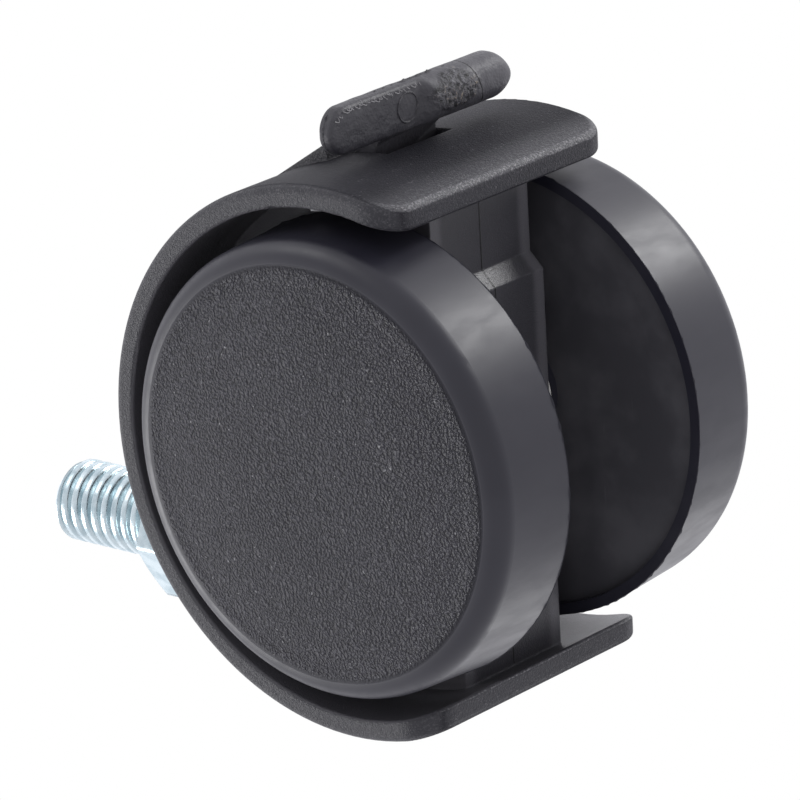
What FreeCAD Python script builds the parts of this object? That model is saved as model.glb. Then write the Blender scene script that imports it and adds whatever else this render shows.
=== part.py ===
"""Twin-wheel furniture caster with a threaded swivel stem and a brake pedal.

Millimetres, +Z up along the stem. The origin is the centre of the stem's seat, the flat top of its
hexagon, which bears against the furniture. The wheels' axle lies along Y, below the seat and offset
towards +X, the side that the brake pedal stands out on. Left is +Y and right is -Y.

Every size comes from the sheet "Dimensions". A Size carries a value and the expression that made it,
so that a sketch can be written with plain arithmetic and still stay bound to the sheet's cells.
"""

import FreeCAD, Part
import math
import os
import Sketcher

DIMENSIONS = [
    ("wheel_radius", 21.5),  # outer radius of the tread, at its inner edge
    ("wheel_gap_half", 9.3),  # centre plane to the inner edge of the tread
    ("tread_end", 16.4),  # centre plane to where the tread starts to round over
    ("tread_draft", 0.4),  # how much smaller the tread is there than at its inner edge
    ("shoulder_radius", 2.1),  # roundness of the shoulder
    ("face_radius", 19.3),  # radius of the textured face
    ("face_edge", 18.45),  # centre plane to the rim of the textured face
    ("face_crown", 19.6),  # centre plane to the middle of the textured face
    ("face_roundness", 110.0),  # radius of the slightly domed face
    ("face_flat", 4.0),  # radius of its flat middle
    ("rim_wall", 1.8),  # thickness of the rim under the tread
    ("face_wall", 1.8),  # thickness of the wheel's face
    ("cover_radius", 20.5),  # radius of the cover in the wheel's open side
    ("cover_recess", 0.9),  # depth of the cover below the rim's edge
    ("cover_wall", 1.2),  # thickness of the cover
    ("hub_radius", 4.8),  # outer radius of the wheel's hub
    ("rib_wall", 1.2),  # thickness of the ribs in the wheel
    ("axle_radius", 3.0),
    ("axle_half", 15.6),  # centre plane to the axle's end
    ("axle_end_room", 0.4),  # free depth beyond the axle's end in the blind hub
    ("running_gap", 0.05),  # radial clearance of what turns
    ("end_gap", 0.1),  # clearance between faces that turn past each other
    ("clip_start", 13.5),  # centre plane to the axle's clip groove
    ("clip_wall", 0.8),  # width of the clip
    ("clip_radius", 3.7),  # outer radius of the clip
    ("clip_gap", 0.2),  # clearance around the clip in the hub
    ("groove_depth", 0.5),  # depth of the grooves in the axle and the stem
    ("spacer_wall", 0.5),  # thickness of the washer between housing and hub
    ("hood_radius", 25.6),  # outer radius of the hood over the wheels
    ("hood_wall", 2.1),
    ("hood_half", 15.8),  # centre plane to the hood's side edge
    ("front_drop", 8.1),  # how far the hood's front end, under the pedal, reaches below the axle
    ("rear_drop", 9.7),  # and its rear end, under the stem
    ("skirt_corner", 3.5),  # corner radius of those ends
    ("hood_round", 0.8),  # roundness of the hood's outer edges
    ("web_half", 6.85),  # centre plane to the side of the web between the wheels
    ("web_floor", 6.55),  # how far the web reaches below the axle
    ("recess_floor", 5.15),  # the same, in the recess under the pedal
    ("recess_start", 13.2),  # where the recess's sloping ledge starts
    ("collar_radius", 4.8),  # collar round the axle on each side of the web
    ("nose_start", 33.0),  # angle above +X where the nose over the pedal's neck leaves the hood
    ("nose_end", 14.0),  # and where it ends
    ("stem_trail", 16.2),  # from the stem's axis to the axle
    ("seat_height", 32.8),  # from the axle up to the stem's seat
    ("socket_radius", 7.2),  # upright socket that holds the stem
    ("socket_foot", 2.0),  # height above the axle where the socket starts
    ("thread_radius", 3.92),  # M8 thread over its crests
    ("thread_length", 13.3),
    ("thread_chamfer", 0.8),
    ("hex_flats", 12.0),  # spanner size
    ("hex_turn", 27.0),  # angle of the hexagon's first corner about the stem's axis
    ("hex_height", 4.5),
    ("hex_chamfer", 0.5),
    ("journal_radius", 3.5),
    ("journal_length", 19.5),  # from under the hexagon to the stem's lower end
    ("washer_radius", 6.4),
    ("washer_wall", 0.8),
    ("bush_radius", 5.0),
    ("bush_length", 14.0),
    ("ring_radius", 4.2),  # snap ring under the bush
    ("ring_wall", 0.9),
    ("ring_room", 4.6),  # radius of the space around the snap ring
    ("ring_opening", 40.0),  # degrees left open in the snap ring and the axle clips
    ("pivot_x", 16.9),  # brake pivot, from the axle
    ("pivot_z", 5.8),
    ("pivot_radius", 1.2),
    ("lever_half", 4.1),  # half width of the lever inside the web
    ("lever_hub", 2.8),
    ("lever_room", 0.4),  # clearance around the lever in the web
    ("arm_top", 6.3),  # the lever's arm inside the hood, heights above the axle
    ("arm_foot", 1.4),
    ("arm_end", 22.4),
    ("neck_wall", 2.4),  # thickness of the neck through the hood
    ("neck_z", 4.0),  # height of the neck's middle
    ("pedal_start", 26.9),
    ("pedal_end", 31.3),
    ("pedal_half", 11.95),
    ("pedal_wall", 1.4),
    ("pedal_z", 1.95),  # height of the pedal plate's middle
    ("pedal_corner", 2.2),
    ("grip_start", 0.8),  # where the pedal's half-round grip starts, along Y
    ("grip_radius", 2.2),
    ("brake_turn", 8.0),  # degrees that the pedal is pressed down
    ("bar_angle", 9.0),  # the brake bar's place, as an angle above +X
    ("bar_gap", 0.6),  # from the tread to the released brake bar
    ("bar_wall", 1.0),
    ("bar_height", 2.0),
    ("bar_half", 11.5),
    ("edge_round", 0.3),  # small round on other edges
]

V = FreeCAD.Vector
UP = V(0, 0, 1)
TINY = 0.01


class Size:
    """A number together with the expression, over the sheet's cells, that it comes from."""

    def __init__(self, value, text=None):
        self.value = float(value)
        self.text = text if text else f"({self.value:.6f})"

    def __float__(self):
        return self.value

    def __neg__(self):
        return Size(-self.value, f"(-1 * {self.text})")

    def __add__(self, other):
        other = size(other)
        return Size(self.value + other.value, f"({self.text} + {other.text})")

    def __sub__(self, other):
        other = size(other)
        return Size(self.value - other.value, f"({self.text} - {other.text})")

    def __mul__(self, other):
        other = size(other)
        return Size(self.value * other.value, f"({self.text} * {other.text})")

    def __truediv__(self, other):
        other = size(other)
        return Size(self.value / other.value, f"({self.text} / {other.text})")

    __radd__ = __add__
    __rmul__ = __mul__

    def __rsub__(self, other):
        return size(other) - self


def size(number):
    return number if isinstance(number, Size) else Size(number)


def cosine(angle):
    return Size(math.cos(math.radians(float(angle))), f"cos({angle.text} * 1 deg)")


def sine(angle):
    return Size(math.sin(math.radians(float(angle))), f"sin({angle.text} * 1 deg)")


class Sizes:
    """The sheet's cells by name."""


def make_sheet(doc):
    sheet = doc.addObject("Spreadsheet::Sheet", "Dimensions")
    sizes = Sizes()
    for row, (name, number) in enumerate(DIMENSIONS, start=1):
        sheet.set(f"A{row}", name)
        sheet.set(f"B{row}", str(number))
        sheet.setAlias(f"B{row}", name)
        setattr(sizes, name, Size(number, f"Dimensions.{name}"))
    doc.recompute()
    return sizes


doc = FreeCAD.newDocument("Caster")
S = make_sheet(doc)


# ---------------------------------------------------------------- sketches and features


def new_body(name):
    body = doc.addObject("PartDesign::Body", name)
    body.Label = name
    return body


def bind(thing, **values):
    for key, number in values.items():
        thing.setExpression(key, size(number).text)


def place(thing, x=0, y=0, z=0, half_turn=False):
    """Put a sub-part at a bound position, optionally turned half round the upright axis."""
    if half_turn:
        thing.Placement = FreeCAD.Placement(V(0, 0, 0), FreeCAD.Rotation(UP, 180))
    bind(thing, **{"Placement.Base.x": x, "Placement.Base.y": y, "Placement.Base.z": z})
    return thing


def at_axle(thing, half_turn=False):
    """Sub-parts below the hood are drawn about the axle's centre and then placed under the stem."""
    return place(thing, S.stem_trail, 0, -S.seat_height, half_turn)


def new_sketch(body, name, plane, lift=0):
    sketch = body.newObject("Sketcher::SketchObject", name)
    support = next(o for o in body.Origin.OriginFeatures if o.Role == plane)
    sketch.AttachmentSupport = [(support, "")]
    sketch.MapMode = "FlatFace"
    bind(sketch, **{"AttachmentOffset.Base.z": lift})
    return sketch


def pin_coordinate(sketch, kind, index, end, number, label):
    """Hold one coordinate of a point at a size."""
    number = size(number)
    made = sketch.addConstraint(Sketcher.Constraint(kind, -1, 1, index, end, number.value))
    sketch.renameConstraint(made, label)
    sketch.setExpression(f"Constraints.{label}", number.text)


def pin_point(sketch, index, end, x, y):
    pin_coordinate(sketch, "DistanceX", index, end, x, f"x{index}_{end}")
    pin_coordinate(sketch, "DistanceY", index, end, y, f"y{index}_{end}")


def pin_radius(sketch, index, radius):
    radius = size(radius)
    made = sketch.addConstraint(Sketcher.Constraint("Radius", index, radius.value))
    sketch.renameConstraint(made, f"r{index}")
    sketch.setExpression(f"Constraints.r{index}", radius.text)


def arc_between(start, end, radius, turn):
    """The short arc of that radius; turn is +1 for anticlockwise and -1 for clockwise."""
    chord = end - start
    reach = math.sqrt(max(radius * radius - chord.Length * chord.Length / 4, 0))
    side = V(-chord.y, chord.x, 0).normalize() * (reach * turn)
    centre = (start + end) / 2 + side
    first, last = (start, end) if turn > 0 else (end, start)
    from_angle = math.atan2(first.y - centre.y, first.x - centre.x)
    to_angle = math.atan2(last.y - centre.y, last.x - centre.x)
    return Part.ArcOfCircle(Part.Circle(centre, UP, radius), from_angle, to_angle)


def draw_outline(sketch, points):
    """A closed outline. A point is (x, y), or (x, y, radius, turn) where an arc leads to it."""
    ends = [V(float(p[0]), float(p[1]), 0) for p in points]
    first = sketch.GeometryCount
    heads, tails = [], []
    for i, point in enumerate(points):
        start, end = ends[i - 1], ends[i]
        clockwise = len(point) == 4 and point[3] < 0
        if len(point) == 4:
            sketch.addGeometry(arc_between(start, end, float(point[2]), point[3]))
        else:
            sketch.addGeometry(Part.LineSegment(start, end))
        heads.append(2 if clockwise else 1)
        tails.append(1 if clockwise else 2)
    for i, point in enumerate(points):
        following = (i + 1) % len(points)
        joint = (first + i, tails[i], first + following, heads[following])
        sketch.addConstraint(Sketcher.Constraint("Coincident", *joint))
        pin_point(sketch, first + i, tails[i], point[0], point[1])
        if len(point) == 4:
            pin_radius(sketch, first + i, point[2])


def draw_circle(sketch, x, y, radius):
    index = sketch.addGeometry(Part.Circle(V(float(x), float(y), 0), UP, float(radius)))
    pin_point(sketch, index, 3, x, y)
    pin_radius(sketch, index, radius)


def outline(body, name, plane, points, lift=0):
    sketch = new_sketch(body, name, plane, lift)
    draw_outline(sketch, points)
    return sketch


def circle(body, name, plane, x, y, radius, lift=0):
    sketch = new_sketch(body, name, plane, lift)
    draw_circle(sketch, x, y, radius)
    return sketch


def pad(body, sketch, length, both_ways=True):
    feature = body.newObject("PartDesign::Pad", f"{sketch.Name}_pad")
    feature.Profile = sketch
    feature.SideType = "Symmetric" if both_ways else "One side"
    bind(feature, Length=length)
    return feature


def pocket(body, sketch, length, both_ways=True):
    """A cut that has to take material away, which the volumes show."""
    doc.recompute()
    before = body.Shape.Volume
    feature = body.newObject("PartDesign::Pocket", f"{sketch.Name}_cut")
    feature.Profile = sketch
    feature.SideType = "Symmetric" if both_ways else "One side"
    bind(feature, Length=length)
    doc.recompute()
    if body.Shape.Volume >= before:
        raise ValueError(f"{sketch.Name} cuts nothing")
    return feature


def turned(body, sketch, kind="PartDesign::Revolution", axis="V_Axis", angle=360):
    """Turn a sketch about its own upright axis, as a solid or as a groove."""
    feature = body.newObject(kind, f"{sketch.Name}_turned")
    feature.Profile = sketch
    feature.ReferenceAxis = (sketch, [axis])
    feature.Angle = angle
    return feature


def edges_where(shape, test):
    return [f"Edge{i}" for i, edge in enumerate(shape.Edges, start=1) if test(edge)]


def soften(body, radius, test):
    """Round the edges that pass the test."""
    doc.recompute()
    base = body.Tip
    feature = body.newObject("PartDesign::Fillet", f"{base.Name}_round")
    feature.Base = (base, edges_where(base.Shape, test))
    bind(feature, Radius=radius)
    return feature


# ---------------------------------------------------------------- stem


def make_threaded_stem():
    """One steel piece: threaded end, hexagon and the journal that the caster swivels on."""
    body = new_body("threaded_stem")
    foot = S.hex_height + S.journal_length
    groove_top = S.hex_height + S.washer_wall + S.end_gap + S.bush_length + S.end_gap
    groove_foot = groove_top + S.ring_wall
    waist = S.journal_radius - S.groove_depth
    shank = [
        (0, S.thread_length),
        (0, -foot),
        (S.journal_radius - S.thread_chamfer, -foot),
        (S.journal_radius, -(foot - S.thread_chamfer)),
        (S.journal_radius, -groove_foot),
        (waist, -groove_foot),
        (waist, -groove_top),
        (S.journal_radius, -groove_top),
        (S.journal_radius, -S.hex_height),
        (S.thread_radius, -S.hex_height),
        (S.thread_radius, S.thread_length - S.thread_chamfer),
        (S.thread_radius - S.thread_chamfer, S.thread_length),
    ]
    turned(body, outline(body, "stem_profile", "XZ_Plane", shank))
    corner = S.hex_flats / (2 * cosine(Size(30)))
    angles = [S.hex_turn + 60 * i for i in range(6)]
    corners = [(corner * cosine(angle), corner * sine(angle)) for angle in angles]
    hexagon = outline(body, "hexagon", "XY_Plane", corners, -S.hex_height)
    pad(body, hexagon, S.hex_height, both_ways=False)
    flat = S.hex_flats / 2
    outside = corner + S.hex_chamfer
    for name, face, inward in (("upper_bevel", size(0), -1), ("lower_bevel", -S.hex_height, 1)):
        triangle = [(flat, face), (outside, face), (outside, face + inward * S.hex_chamfer)]
        turned(body, outline(body, name, "XZ_Plane", triangle), "PartDesign::Groove")
    return body


def make_washer(name, hole, rim, wall):
    """A flat washer, drawn about the upright axis with its top face at zero."""
    body = new_body(name)
    sketch = circle(body, f"{name}_disc", "XY_Plane", 0, 0, rim, -wall)
    draw_circle(sketch, 0, 0, hole)
    pad(body, sketch, wall, both_ways=False)
    return body


def make_thrust_washer():
    body = make_washer("thrust_washer", S.journal_radius + S.running_gap, S.washer_radius, S.washer_wall)
    return place(body, 0, 0, -S.hex_height)


def make_stem_bush():
    """Sleeve pressed into the socket, which the stem's journal turns in."""
    body = make_washer("stem_bush", S.journal_radius + S.running_gap, S.bush_radius, S.bush_length)
    return place(body, 0, 0, -(S.hex_height + S.washer_wall + S.end_gap))


def make_open_ring(name, plane, inner, outer, start, wall):
    """A ring with a gap, turned about the sketch's upright axis."""
    body = new_body(name)
    section = [(inner, start), (outer, start), (outer, start + wall), (inner, start + wall)]
    turned(body, outline(body, f"{name}_section", plane, section), angle=360 - float(S.ring_opening))
    return body


def make_stem_snap_ring():
    top = S.hex_height + S.washer_wall + S.end_gap + S.bush_length + S.end_gap
    waist = S.journal_radius - S.groove_depth
    foot = -(top + S.ring_wall)
    return make_open_ring("stem_snap_ring", "XZ_Plane", waist, S.ring_radius, foot, S.ring_wall)


# ---------------------------------------------------------------- housing


def reach(radius, level):
    """How far out the circle round the axle is at that level."""
    across = math.sqrt(float(radius) ** 2 - float(level) ** 2)
    return Size(across, f"sqrt({size(radius).text}^2 - {size(level).text}^2)")


def hood_section():
    """The hood is an arch over the wheels, all of one thickness, with level feet."""
    outer = S.hood_radius
    inner = S.hood_radius - S.hood_wall
    return [
        (reach(outer, S.front_drop), -S.front_drop),
        (0, outer, outer, 1),
        (-reach(outer, S.rear_drop), -S.rear_drop, outer, 1),
        (-reach(inner, S.rear_drop), -S.rear_drop),
        (0, inner, inner, -1),
        (reach(inner, S.front_drop), -S.front_drop, inner, -1),
    ]


def web_section():
    """The web fills the arch down to a flat floor, with a shallow recess under the pedal."""
    edge = S.hood_radius - S.hood_wall / 2
    return [
        (reach(edge, S.recess_floor), -S.recess_floor),
        (0, edge, edge, 1),
        (-reach(edge, S.web_floor), -S.web_floor, edge, 1),
        (S.recess_start, -S.web_floor),
        (S.recess_start + S.web_floor - S.recess_floor, -S.recess_floor),
    ]


def nose_section():
    """The nose leaves the hood at a tangent and runs straight on to its blunt end."""
    inner = S.hood_radius - S.hood_wall / 2
    tip = S.hood_radius / cosine(S.nose_start - S.nose_end)
    start = (cosine(S.nose_start), sine(S.nose_start))
    end = (cosine(S.nose_end), sine(S.nose_end))
    return [
        (tip * end[0], tip * end[1]),
        (S.hood_radius * start[0], S.hood_radius * start[1]),
        (inner * start[0], inner * start[1]),
        (inner * end[0], inner * end[1]),
    ]


def lever_room_section():
    """The space in the web and the hood that the lever needs at rest and when pressed down."""
    back = S.pivot_x - S.lever_hub - S.lever_room
    drop = (S.hood_radius - S.pivot_x) * sine(S.brake_turn)
    outside = S.hood_radius + S.hood_wall
    neck_foot = S.neck_z - S.neck_wall / 2 - drop - S.lever_room
    neck_top = S.neck_z + S.neck_wall / 2 + S.lever_room
    inside = S.arm_end + S.lever_room
    arm_foot = S.arm_foot - (S.arm_end - S.pivot_x) * sine(S.brake_turn) - S.lever_room
    top = S.pivot_z + S.lever_hub + S.lever_room
    return [
        (back, arm_foot),
        (inside, arm_foot),
        (inside, neck_foot),
        (outside, neck_foot),
        (outside, neck_top),
        (inside, neck_top),
        (inside, S.arm_top),
        (S.pivot_x, top),
        (back, top),
    ]


def bar_window_section():
    """Openings in the web's cheeks, under the hood, that the brake bar's ends move in."""
    inner = S.hood_radius - S.hood_wall
    level = bar_centre()[1]
    foot = level - S.bar_height - S.lever_room
    top = level + S.bar_height / 2 + 2 * S.lever_room
    start = S.wheel_radius - S.bar_wall / 2
    return [
        (start, foot),
        (inner - S.bar_gap / 2, foot),
        (inner - S.bar_gap / 2, top - S.bar_wall),
        (inner - S.bar_wall, top),
        (start, top),
    ]


def make_housing():
    body = new_body("housing")
    pad(body, outline(body, "hood", "XZ_Plane", hood_section()), 2 * S.hood_half)
    soften(body, S.skirt_corner, is_skirt_corner)
    pad(body, outline(body, "web", "XZ_Plane", web_section()), 2 * S.web_half)
    pad(body, outline(body, "nose", "XZ_Plane", nose_section()), 2 * S.web_half)
    collar = circle(body, "collar", "XZ_Plane", 0, 0, S.collar_radius)
    pad(body, collar, 2 * (S.wheel_gap_half - S.spacer_wall))
    socket_top = S.seat_height - S.hex_height - S.washer_wall - S.end_gap
    socket = circle(body, "socket", "XY_Plane", -S.stem_trail, 0, S.socket_radius, S.socket_foot)
    pad(body, socket, socket_top - S.socket_foot, both_ways=False)
    soften(body, S.hood_round, is_hood_outer_edge)
    soften(body, S.edge_round, is_hood_inner_edge)
    bush_hole = circle(body, "bush_hole", "XY_Plane", -S.stem_trail, 0, S.bush_radius, socket_top)
    pocket(body, bush_hole, S.bush_length, both_ways=False)
    ring_depth = socket_top - (S.seat_height - S.hex_height - S.journal_length) + S.end_gap
    ring_hole = circle(body, "ring_hole", "XY_Plane", -S.stem_trail, 0, S.ring_room, socket_top)
    pocket(body, ring_hole, ring_depth + S.end_gap, both_ways=False)
    pocket(body, circle(body, "axle_hole", "XZ_Plane", 0, 0, S.axle_radius), 2 * S.hood_half)
    lever_room = outline(body, "lever_room", "XZ_Plane", lever_room_section())
    pocket(body, lever_room, 2 * (S.lever_half + S.lever_room))
    pocket(body, outline(body, "bar_window", "XZ_Plane", bar_window_section()), 2 * S.hood_half)
    pivot_hole = circle(body, "pivot_hole", "XZ_Plane", S.pivot_x, S.pivot_z, S.pivot_radius)
    pocket(body, pivot_hole, 2 * S.hood_half)
    return at_axle(body)


def is_skirt_corner(edge):
    """The four short edges through the wall at the ends of the hood."""
    box = edge.BoundBox
    at_foot = min(abs(box.ZMax + float(drop)) for drop in (S.front_drop, S.rear_drop)) < TINY
    return at_foot and box.ZLength < TINY and box.YLength < TINY


def is_hood_side_edge(edge, outside):
    """The edges of the hood's side rims, on the outside or the inside of its wall."""
    box = edge.BoundBox
    middle = edge.valueAt((edge.FirstParameter + edge.LastParameter) / 2)
    on_rim = box.YLength < TINY and abs(abs(box.YMax) - float(S.hood_half)) < TINY
    return on_rim and (math.hypot(middle.x, middle.z) > float(S.hood_radius - S.hood_wall / 2)) == outside


def is_hood_outer_edge(edge):
    return is_hood_side_edge(edge, True)


def is_hood_inner_edge(edge):
    return is_hood_side_edge(edge, False)


# ---------------------------------------------------------------- axle and wheels


def make_axle():
    body = new_body("axle")
    groove_end = S.clip_start + S.clip_wall
    waist = S.axle_radius - S.groove_depth
    tip = S.axle_half - S.edge_round
    shape = [(0, -S.axle_half), (S.axle_radius - S.edge_round, -S.axle_half), (S.axle_radius, -tip)]
    shape += [(S.axle_radius, -groove_end), (waist, -groove_end), (waist, -S.clip_start)]
    shape += [(S.axle_radius, -S.clip_start), (S.axle_radius, S.clip_start), (waist, S.clip_start)]
    shape += [(waist, groove_end), (S.axle_radius, groove_end), (S.axle_radius, tip)]
    shape += [(S.axle_radius - S.edge_round, S.axle_half), (0, S.axle_half)]
    turned(body, outline(body, "axle_profile", "XY_Plane", shape))
    return at_axle(body)


def wheel_profile():
    """Half section of a wheel, as (radius, distance from the caster's centre plane)."""
    bore = S.axle_radius + S.running_gap
    clip_room = S.clip_radius + S.clip_gap
    room_start = S.clip_start - S.clip_gap
    room_end = S.clip_start + S.clip_wall + S.clip_gap
    bore_end = S.axle_half + S.axle_end_room
    hub_start = S.wheel_gap_half + S.end_gap
    rim_inside = S.wheel_radius - S.rim_wall
    cover_seat = S.wheel_gap_half + S.cover_recess + S.cover_wall
    face_inside = S.face_edge - S.face_wall
    return [
        (bore, hub_start),
        (S.hub_radius, hub_start),
        (S.hub_radius, face_inside),
        (rim_inside, face_inside),
        (rim_inside, cover_seat),
        (S.cover_radius, cover_seat),
        (S.cover_radius, S.wheel_gap_half),
        (S.wheel_radius, S.wheel_gap_half),
        (S.wheel_radius - S.tread_draft, S.tread_end),
        (S.face_radius, S.face_edge, S.shoulder_radius, 1),
        (S.face_flat, S.face_crown, S.face_roundness, 1),
        (0, S.face_crown),
        (0, bore_end),
        (bore, bore_end),
        (bore, room_end),
        (clip_room, room_end),
        (clip_room, room_start),
        (bore, room_start),
    ]


def make_wheel(name, half_turn):
    """A cup-shaped moulding: tread, textured outer face, hub and, inside, six stiffening ribs."""
    body = new_body(name)
    turned(body, outline(body, f"{name}_profile", "XY_Plane", wheel_profile()))
    inner = S.hub_radius - S.rib_wall / 2
    outer = S.wheel_radius - S.rim_wall / 2
    half = S.rib_wall / 2
    rib = [(inner, -half), (outer, -half), (outer, half), (inner, half)]
    rib_start = S.wheel_gap_half + S.cover_recess + S.cover_wall
    sketch = outline(body, f"{name}_rib", "XZ_Plane", rib, -rib_start)
    ribs = pad(body, sketch, S.face_edge - S.face_wall / 2 - rib_start, both_ways=False)
    ribs.Reversed = True
    doc.recompute()
    pattern = body.newObject("PartDesign::PolarPattern", f"{name}_ribs")
    pattern.Originals = [ribs]
    pattern.Axis = (sketch, ["N_Axis"])
    pattern.Angle = 360
    pattern.Occurrences = 6
    body.Tip = pattern
    return at_axle(body, half_turn)


def make_inner_cover(name, half_turn):
    """Flat disc pressed into the wheel's open side, round the hub."""
    body = new_body(name)
    start = S.wheel_gap_half + S.cover_recess
    section = [(S.hub_radius, start), (S.cover_radius, start)]
    section += [(S.cover_radius, start + S.cover_wall), (S.hub_radius, start + S.cover_wall)]
    turned(body, outline(body, f"{name}_section", "XY_Plane", section))
    return at_axle(body, half_turn)


def make_spacer(name, half_turn):
    """Washer between the housing's collar and the wheel's hub."""
    body = new_body(name)
    start = S.wheel_gap_half - S.spacer_wall
    bore = S.axle_radius + S.running_gap
    section = [(bore, start), (S.hub_radius, start)]
    section += [(S.hub_radius, start + S.spacer_wall), (bore, start + S.spacer_wall)]
    turned(body, outline(body, f"{name}_section", "XY_Plane", section))
    return at_axle(body, half_turn)


def make_axle_clip(name, half_turn):
    """Open ring in the axle's groove, which snaps into the wheel's hub and holds the wheel on."""
    waist = S.axle_radius - S.groove_depth
    body = make_open_ring(name, "XY_Plane", waist, S.clip_radius, S.clip_start, S.clip_wall)
    return at_axle(body, half_turn)


# ---------------------------------------------------------------- brake


def bar_centre():
    reach = S.wheel_radius + S.bar_gap + S.bar_wall / 2
    return reach * cosine(S.bar_angle), reach * sine(S.bar_angle)


def bar_section():
    """The brake bar's section, square to the line from the axle."""
    along = (cosine(S.bar_angle), sine(S.bar_angle))
    x, z = bar_centre()
    deep = S.bar_wall / 2
    tall = S.bar_height / 2
    signs = ((-1, -1), (1, -1), (1, 1), (-1, 1))
    return [
        (
            x + deep * along[0] * i - tall * along[1] * j,
            z + deep * along[1] * i + tall * along[0] * j,
        )
        for i, j in signs
    ]


def arm_section():
    """The lever inside the hood, from its pivot to the neck that passes through the hood."""
    hub_top = S.pivot_z + S.lever_hub
    hub_foot = S.pivot_z - S.lever_hub
    return [
        (S.pivot_x, hub_foot),
        (S.arm_end - S.bar_wall, S.arm_foot),
        (S.arm_end, S.arm_foot),
        (S.arm_end, S.arm_top - S.neck_wall / 2),
        (S.arm_end - S.bar_wall, S.arm_top),
        (S.pivot_x, hub_top),
    ]


def neck_section():
    """The neck slopes down from the hood's slot to the pedal plate."""
    half = S.neck_wall / 2
    thin = S.pedal_wall / 2
    return [
        (S.arm_end - S.bar_wall, S.neck_z - half),
        (S.hood_radius + S.lever_room, S.neck_z - half),
        (S.pedal_start + thin, S.pedal_z - thin),
        (S.pedal_start + thin, S.pedal_z + thin),
        (S.hood_radius + S.lever_room, S.neck_z + half),
        (S.arm_end - S.bar_wall, S.neck_z + half),
    ]


def pedal_outline():
    """The pedal plate from above: a long bar with rounded ends."""
    near, far = S.pedal_start, S.pedal_end
    left, right = S.pedal_half, -S.pedal_half
    corner = S.pedal_corner
    return [
        (near, right + corner),
        (near + corner, right, corner, 1),
        (far - corner, right),
        (far, right + corner, corner, 1),
        (far, left - corner),
        (far - corner, left, corner, 1),
        (near + corner, left),
        (near, left - corner, corner, 1),
    ]


def grip_section():
    """Half-round grip under the plate's left half."""
    middle = (S.pedal_start + S.pedal_end) / 2
    level = S.pedal_z
    return [
        (middle - S.grip_radius, level),
        (middle, level - S.grip_radius, S.grip_radius, 1),
        (middle + S.grip_radius, level, S.grip_radius, 1),
    ]


def make_brake_lever():
    """One moulding: hub on the pivot pin, arm, neck through the hood and the pedal across its end."""
    body = new_body("brake_lever")
    width = 2 * S.lever_half
    pad(body, circle(body, "lever_hub", "XZ_Plane", S.pivot_x, S.pivot_z, S.lever_hub), width)
    pad(body, outline(body, "lever_arm", "XZ_Plane", arm_section()), width)
    pad(body, outline(body, "lever_neck", "XZ_Plane", neck_section()), width)
    plate = outline(body, "pedal", "XY_Plane", pedal_outline(), S.pedal_z - S.pedal_wall / 2)
    pad(body, plate, S.pedal_wall, both_ways=False)
    grip = outline(body, "grip", "XZ_Plane", grip_section(), -(S.pedal_half - S.edge_round))
    pad(body, grip, S.pedal_half - S.edge_round - S.grip_start, both_ways=False)
    bore = S.pivot_radius + S.running_gap
    pocket(body, circle(body, "lever_bore", "XZ_Plane", S.pivot_x, S.pivot_z, bore), 2 * width)
    pocket(body, outline(body, "bar_slot", "XZ_Plane", bar_section()), 2 * width)
    return at_axle(body)


def make_brake_bar():
    """Steel strip through the lever, whose ends press on both treads."""
    body = new_body("brake_bar")
    pad(body, outline(body, "bar", "XZ_Plane", bar_section()), 2 * S.bar_half)
    return at_axle(body)


def make_brake_pin():
    """Pivot pin pressed into the web's cheeks."""
    pin = doc.addObject("Part::Cylinder", "brake_pin")
    pin.Label = "brake_pin"
    bind(pin, Radius=S.pivot_radius, Height=2 * S.web_half)
    pin.Placement = FreeCAD.Placement(V(0, 0, 0), FreeCAD.Rotation(V(1, 0, 0), -90))
    return place(pin, S.stem_trail + S.pivot_x, -S.web_half, S.pivot_z - S.seat_height)


# ---------------------------------------------------------------- the whole caster


def make_caster():
    pieces = [
        make_threaded_stem(),
        make_thrust_washer(),
        make_stem_bush(),
        make_stem_snap_ring(),
        make_housing(),
        make_axle(),
        make_brake_lever(),
        make_brake_pin(),
        make_brake_bar(),
    ]
    for side, half_turn in (("left", False), ("right", True)):
        pieces.append(make_wheel(f"wheel_{side}", half_turn))
        pieces.append(make_inner_cover(f"inner_cover_{side}", half_turn))
        pieces.append(make_spacer(f"spacer_{side}", half_turn))
        pieces.append(make_axle_clip(f"axle_clip_{side}", half_turn))
    doc.recompute()
    return pieces


def check(pieces):
    """Stop on anything that failed to build, which recompute does not report by itself."""
    for thing in doc.Objects:
        if "Invalid" in thing.State or "Error" in thing.State:
            raise ValueError(f"{thing.Name} did not build: {thing.State}")
    for piece in pieces:
        if piece.Shape.isNull() or not piece.Shape.isValid():
            raise ValueError(f"{piece.Label} has no valid shape")
        if len(piece.Shape.Solids) != 1:
            raise ValueError(f"{piece.Label} is not one solid")


def write(pieces):
    os.makedirs("parts", exist_ok=True)
    for piece in pieces:
        piece.Shape.exportStep(os.path.join("parts", f"{piece.Label}.step"))
        print(f"{piece.Label}: {piece.Shape.Volume:.1f} mm3")


caster = make_caster()
check(caster)
write(caster)
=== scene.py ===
import math

import bmesh
import bpy
from mathutils import Matrix, Vector, noise


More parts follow.
